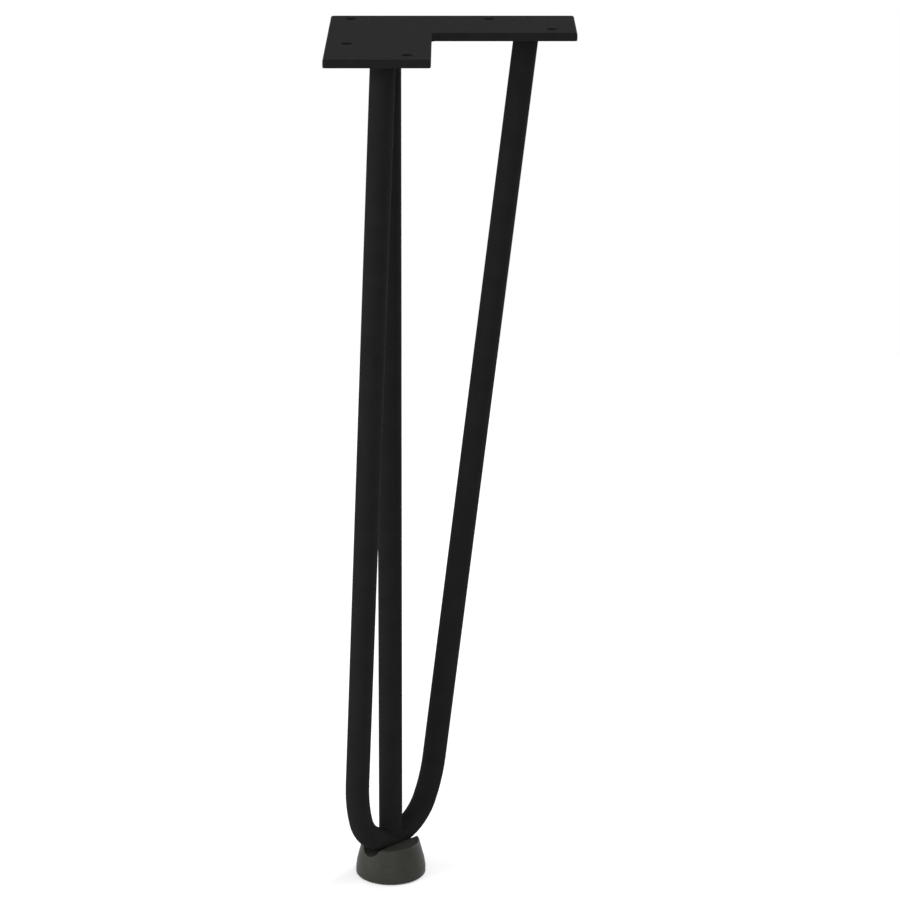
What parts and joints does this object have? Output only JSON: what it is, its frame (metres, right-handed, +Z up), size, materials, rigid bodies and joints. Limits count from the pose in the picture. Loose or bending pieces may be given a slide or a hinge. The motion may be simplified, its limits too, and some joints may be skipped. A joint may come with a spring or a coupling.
{
  "type": "hairpin table leg",
  "caption": "Welded round-rod hairpin leg with an L-shaped screw-on mounting plate and a moulded foot, for tables, benches and low furniture.",
  "frame": {"origin": "on the mounting plate's top face, straight above the middle of the foot", "axes": "+Z up, out of the plate's top face; +X along the rear arm of the plate; -Y along its front arm"},
  "size_m": [0.12, 0.12, 0.448],
  "materials": {
    "powder_coated_steel": "matt black powder coat",
    "foot_plastic": "moulded, olive-grey, slightly satin"
  },
  "bodies": {
    "root": {"mounting_plate": "powder_coated_steel", "hairpin_rod": "powder_coated_steel", "straight_rod": "powder_coated_steel", "foot": "foot_plastic"}
  },
  "joints": []
}
